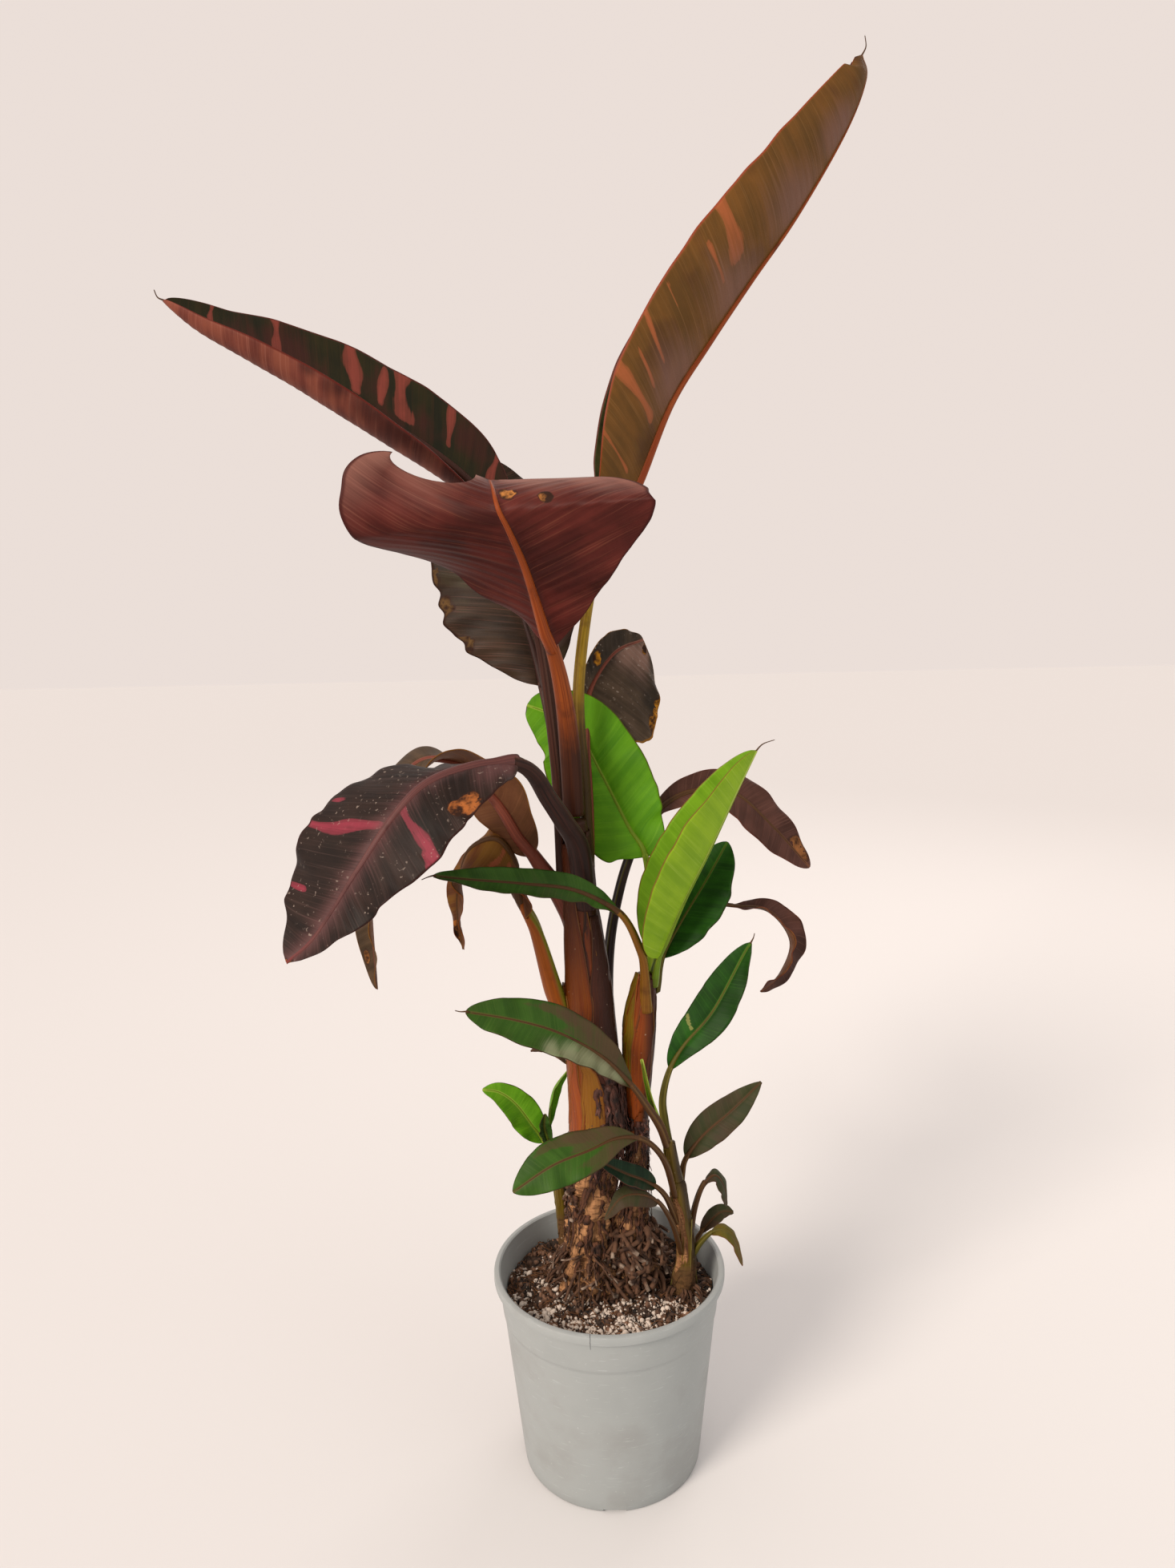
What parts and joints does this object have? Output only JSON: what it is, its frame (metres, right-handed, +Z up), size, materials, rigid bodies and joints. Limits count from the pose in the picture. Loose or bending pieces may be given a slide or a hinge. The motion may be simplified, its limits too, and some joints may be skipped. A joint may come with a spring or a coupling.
{
  "type": "potted banana plant",
  "caption": "Young banana plant in a round grey nursery pot: a tall false stem and a thinner one with broad dark red and green leaves, and leafy suckers at the foot.",
  "frame": {"origin": "centre of the pot's flat underside", "axes": "+Z up along the stems, +X to the right and -Y to the front as seen from the side with the red leaf bent forward"},
  "size_m": [0.4884, 0.2546, 1.0987],
  "materials": {
    "pot": "matte light grey plastic, scuffed",
    "soil": "dark moist potting mix with pale grains and fibres",
    "sheath": "orange-brown to near black leaf sheaths, satin, torn fibre lower down",
    "young_stem": "yellow-green young sheaths, satin",
    "bronze": "bronze-green underside with faint orange stripes, satin",
    "dark": "black-green with red and pink streaks, satin",
    "maroon": "dark maroon-brown, drying at the edges, satin",
    "red": "deep red underside with fine side veins, satin",
    "green": "mid green, satin",
    "lime": "fresh yellow-green, satin",
    "deep_green": "deep green, red-edged, satin"
  },
  "bodies": {
    "root": {"pot": "pot", "soil": "soil", "main_stem": "sheath", "second_stem": "sheath", "front_sucker_stem": "young_stem", "back_sucker_stem": "young_stem", "leaf_front_red_stalk": "red", "leaf_front_red_blade": "red", "leaf_tall_right_stalk": "bronze", "leaf_tall_right_blade": "bronze", "leaf_upper_left_stalk": "dark", "leaf_upper_left_blade": "dark", "leaf_back_left_stalk": "dark", "leaf_back_left_blade": "dark", "leaf_back_right_stalk": "dark", "leaf_back_right_blade": "dark", "leaf_big_left_stalk": "dark", "leaf_big_left_blade": "dark", "leaf_drooping_left_stalk": "maroon", "leaf_drooping_left_blade": "maroon", "leaf_curled_left_stalk": "maroon", "leaf_curled_left_blade": "maroon", "leaf_right_maroon_stalk": "maroon", "leaf_right_maroon_blade": "maroon", "leaf_withered_right_stalk": "maroon", "leaf_withered_right_blade": "maroon", "leaf_small_behind": "maroon", "second_leaf_upright": "lime", "second_leaf_round": "green", "second_leaf_dark": "deep_green", "second_leaf_left": "deep_green", "front_leaf_left_high": "deep_green", "front_leaf_right_high": "deep_green", "front_leaf_right_low": "deep_green", "front_leaf_left_mid": "deep_green", "front_leaf_left_dark": "deep_green", "front_leaf_left_low": "maroon", "front_leaf_loop": "maroon", "front_leaf_low_right": "young_stem", "front_leaf_twisted": "maroon", "front_leaf_spear": "lime", "back_leaf_wide": "green", "back_leaf_upright": "green", "back_leaf_small": "deep_green"}
  },
  "joints": []
}
